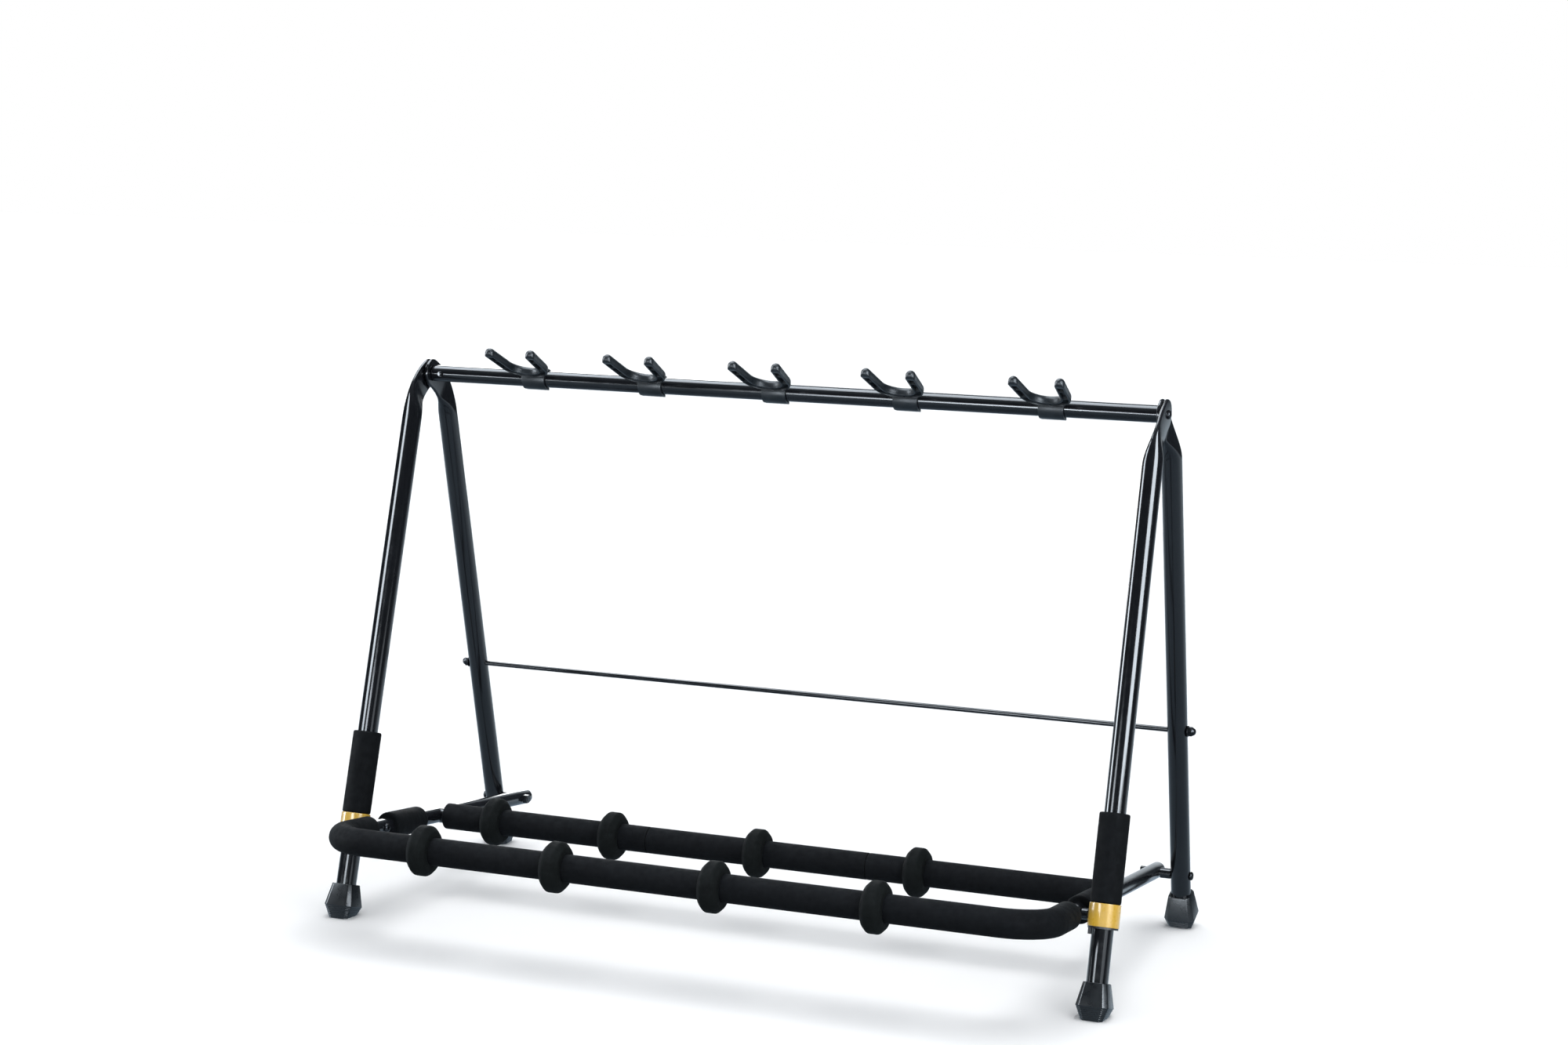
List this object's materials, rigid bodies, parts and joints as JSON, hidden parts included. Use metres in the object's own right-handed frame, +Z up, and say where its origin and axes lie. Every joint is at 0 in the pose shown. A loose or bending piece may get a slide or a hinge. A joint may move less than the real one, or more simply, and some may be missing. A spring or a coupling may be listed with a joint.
{
  "type": "guitar rack",
  "caption": "Folding floor rack for guitars: an A-frame of bent tube with a padded cradle, sliding dividers and clip-on neck yokes along the top rail.",
  "frame": {"origin": "on the floor, under the centre of the whole rack", "axes": "+X along the top rail to the right seen from the front, +Y to the back, +Z up"},
  "size_m": [0.9764, 0.5576, 0.6821],
  "materials": {
    "black_paint": "gloss black powder coat on steel tube",
    "black_steel": "black oxide steel fasteners",
    "black_foam": "matte closed-cell foam",
    "divider_foam": "matte dense foam",
    "foot_rubber": "satin moulded rubber",
    "yellow_collar": "satin yellow paint",
    "yoke_rubber": "satin moulded rubber",
    "black_plastic": "black moulded nylon"
  },
  "bodies": {
    "front_frame": {"front_leg_left": "black_paint", "front_leg_right": "black_paint", "front_foot_left": "foot_rubber", "front_foot_right": "foot_rubber", "top_rail": "black_paint", "rail_plug_left": "black_plastic", "rail_plug_right": "black_plastic", "hinge_bolts": "black_steel", "hinge_washers": "black_steel"},
    "rear_frame": {"rear_leg_left": "black_paint", "rear_leg_right": "black_paint", "rear_foot_left": "foot_rubber", "rear_foot_right": "foot_rubber", "tie_rod": "black_steel", "acorn_nuts": "black_steel", "rod_washers": "black_steel"},
    "cradle": {"cradle_tube": "black_paint", "cross_tube": "black_paint", "front_foam": "black_foam", "rear_foam_left": "black_foam", "rear_foam_center": "black_foam", "rear_foam_right": "black_foam", "side_foam_left": "black_foam", "side_foam_right": "black_foam", "front_pivot_bolts": "black_steel", "front_pivot_spacers": "black_plastic", "rear_pivot_bolts": "black_steel", "rear_pivot_spacers": "black_plastic", "rear_pivot_nuts": "black_steel"},
    "collar_slide_left": {"collar_left": "yellow_collar", "foam_grip_left": "black_foam", "slide_bush_left": "black_plastic"},
    "collar_slide_right": {"collar_right": "yellow_collar", "foam_grip_right": "black_foam", "slide_bush_right": "black_plastic"},
    "yoke_1": {"yoke_1_clip": "yoke_rubber", "yoke_1_pad": "yoke_rubber"},
    "yoke_2": {"yoke_2_clip": "yoke_rubber", "yoke_2_pad": "yoke_rubber"},
    "yoke_3": {"yoke_3_clip": "yoke_rubber", "yoke_3_pad": "yoke_rubber"},
    "yoke_4": {"yoke_4_clip": "yoke_rubber", "yoke_4_pad": "yoke_rubber"},
    "yoke_5": {"yoke_5_clip": "yoke_rubber", "yoke_5_pad": "yoke_rubber"},
    "front_divider_1_ring": {"front_divider_1": "divider_foam"},
    "front_divider_2_ring": {"front_divider_2": "divider_foam"},
    "front_divider_3_ring": {"front_divider_3": "divider_foam"},
    "front_divider_4_ring": {"front_divider_4": "divider_foam"},
    "rear_divider_1_ring": {"rear_divider_1": "divider_foam"},
    "rear_divider_2_ring": {"rear_divider_2": "divider_foam"},
    "rear_divider_3_ring": {"rear_divider_3": "divider_foam"},
    "rear_divider_4_ring": {"rear_divider_4": "divider_foam"}
  },
  "joints": [
    {"name": "frame_fold", "type": "hinge", "parent": "front_frame", "child": "rear_frame", "pos_m": [0, 0.05496, 0.642], "axis": [-1, 0, 0], "range_deg": [0, 30.99]},
    {"name": "cradle_fold", "type": "hinge", "parent": "rear_frame", "child": "cradle", "pos_m": [0, 0.24644, 0.0668], "axis": [-1, 0, 0], "range_deg": [0, 59.11]},
    {"name": "collar_lift_left", "type": "slide", "parent": "front_frame", "child": "collar_slide_left", "axis": [0, 0.2672, 0.9636], "range_m": [0, 0.3286]},
    {"name": "collar_lift_right", "type": "slide", "parent": "front_frame", "child": "collar_slide_right", "axis": [0, 0.2672, 0.9636], "range_m": [0, 0.3286]},
    {"name": "yoke_1_slide", "type": "slide", "parent": "front_frame", "child": "yoke_1", "axis": [1, 0, 0], "range_m": [-0.04, 0.04]},
    {"name": "yoke_2_slide", "type": "slide", "parent": "front_frame", "child": "yoke_2", "axis": [1, 0, 0], "range_m": [-0.04, 0.04]},
    {"name": "yoke_3_slide", "type": "slide", "parent": "front_frame", "child": "yoke_3", "axis": [1, 0, 0], "range_m": [-0.04, 0.04]},
    {"name": "yoke_4_slide", "type": "slide", "parent": "front_frame", "child": "yoke_4", "axis": [1, 0, 0], "range_m": [-0.04, 0.04]},
    {"name": "yoke_5_slide", "type": "slide", "parent": "front_frame", "child": "yoke_5", "axis": [1, 0, 0], "range_m": [-0.04, 0.04]},
    {"name": "front_divider_1_slide", "type": "slide", "parent": "cradle", "child": "front_divider_1_ring", "axis": [1, 0, 0], "range_m": [-0.05, 0.05]},
    {"name": "front_divider_2_slide", "type": "slide", "parent": "cradle", "child": "front_divider_2_ring", "axis": [1, 0, 0], "range_m": [-0.05, 0.05]},
    {"name": "front_divider_3_slide", "type": "slide", "parent": "cradle", "child": "front_divider_3_ring", "axis": [1, 0, 0], "range_m": [-0.05, 0.05]},
    {"name": "front_divider_4_slide", "type": "slide", "parent": "cradle", "child": "front_divider_4_ring", "axis": [1, 0, 0], "range_m": [-0.05, 0.05]},
    {"name": "rear_divider_1_slide", "type": "slide", "parent": "cradle", "child": "rear_divider_1_ring", "axis": [1, 0, 0], "range_m": [-0.05, 0.05]},
    {"name": "rear_divider_2_slide", "type": "slide", "parent": "cradle", "child": "rear_divider_2_ring", "axis": [1, 0, 0], "range_m": [-0.05, 0.05]},
    {"name": "rear_divider_3_slide", "type": "slide", "parent": "cradle", "child": "rear_divider_3_ring", "axis": [1, 0, 0], "range_m": [-0.05, 0.05]},
    {"name": "rear_divider_4_slide", "type": "slide", "parent": "cradle", "child": "rear_divider_4_ring", "axis": [1, 0, 0], "range_m": [-0.05, 0.05]}
  ],
  "couplings": [
    {"joint": "cradle_fold", "follows": "frame_fold", "ratio": 1.9006},
    {"joint": "collar_lift_left", "follows": "frame_fold", "m_per_rad": 0.60567},
    {"joint": "collar_lift_right", "follows": "frame_fold", "m_per_rad": 0.60567}
  ]
}
